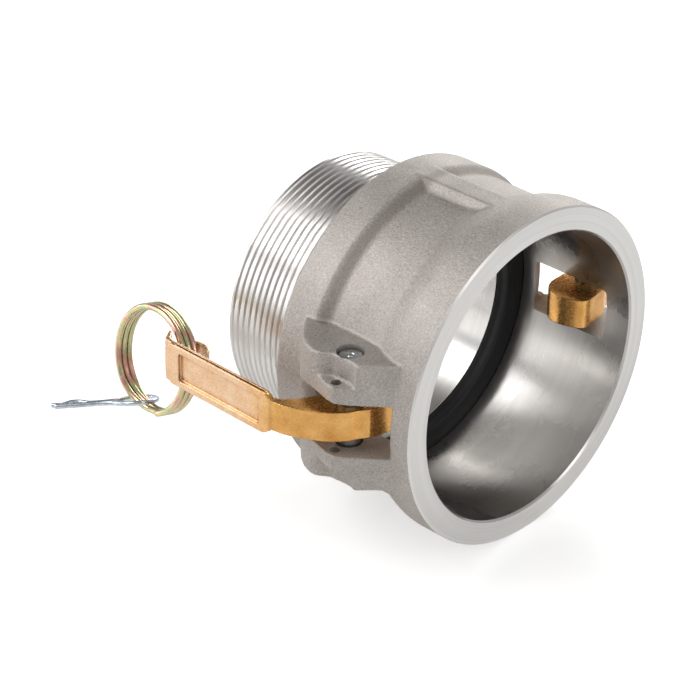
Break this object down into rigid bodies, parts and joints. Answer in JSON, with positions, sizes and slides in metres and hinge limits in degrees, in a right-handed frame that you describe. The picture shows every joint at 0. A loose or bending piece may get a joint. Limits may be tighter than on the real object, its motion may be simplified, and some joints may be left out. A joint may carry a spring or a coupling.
{
  "type": "cam and groove coupling",
  "caption": "Cast cam-and-groove coupler: open socket with a seated gasket, hinged cam arms with pull rings and safety clips, and a male taper-threaded tail.",
  "frame": {"origin": "centre of the overall box with the arms closed, which lies on the bore axis 80.73 mm behind the mouth plane", "axes": "+X along the bore, out of the mouth; +Z parallel to the two pivot pins; the cam arms stand at -Y (left) and +Y (right)"},
  "size_m": [0.1582, 0.2262, 0.141],
  "materials": {
    "cast_aluminium": "pressure-cast grain outside, turned bright on the mouth face, socket and thread",
    "black_rubber": "matt moulded",
    "plated_steel_pin": "plated, flat ends",
    "brass": "forged and tumbled, semi-bright",
    "yellow_zinc_steel": "yellow zinc plated, iridescent",
    "blue_zinc_steel": "bright blue-white zinc plated wire"
  },
  "bodies": {
    "shell": {"body": "cast_aluminium", "gasket": "black_rubber", "pivot_pin_left": "plated_steel_pin", "pivot_pin_right": "plated_steel_pin"},
    "arm_left": {"cam_arm_left": "brass"},
    "arm_right": {"cam_arm_right": "brass"},
    "ring_left": {"pull_ring_left": "yellow_zinc_steel"},
    "ring_right": {"pull_ring_right": "yellow_zinc_steel"},
    "clip_left": {"safety_clip_left": "blue_zinc_steel"},
    "clip_right": {"safety_clip_right": "blue_zinc_steel"}
  },
  "joints": [
    {"name": "arm_left_pivot", "type": "hinge", "parent": "shell", "child": "arm_left", "pos_m": [0.04832, -0.0704, 0], "axis": [0, 0, 1], "range_deg": [0, 110]},
    {"name": "arm_right_pivot", "type": "hinge", "parent": "shell", "child": "arm_right", "pos_m": [0.04832, 0.0704, 0], "axis": [0, 0, -1], "range_deg": [0, 110]},
    {"name": "ring_left_swing", "type": "hinge", "parent": "arm_left", "child": "ring_left", "pos_m": [-0.02648, -0.0833, 0], "axis": [0, 0, 1], "range_deg": [-55, 8]},
    {"name": "ring_right_swing", "type": "hinge", "parent": "arm_right", "child": "ring_right", "pos_m": [-0.02648, 0.0833, 0], "axis": [0, 0, -1], "range_deg": [-55, 8]},
    {"name": "clip_left_swing", "type": "hinge", "parent": "ring_left", "child": "clip_left", "pos_m": [-0.05201, -0.08731, -0.03002], "axis": [-0.3227, 0.2029, 0.9245], "range_deg": [-60, 60]},
    {"name": "clip_right_swing", "type": "hinge", "parent": "ring_right", "child": "clip_right", "pos_m": [-0.05201, 0.08731, -0.03002], "axis": [0.3227, 0.2029, -0.9245], "range_deg": [-60, 60]}
  ]
}
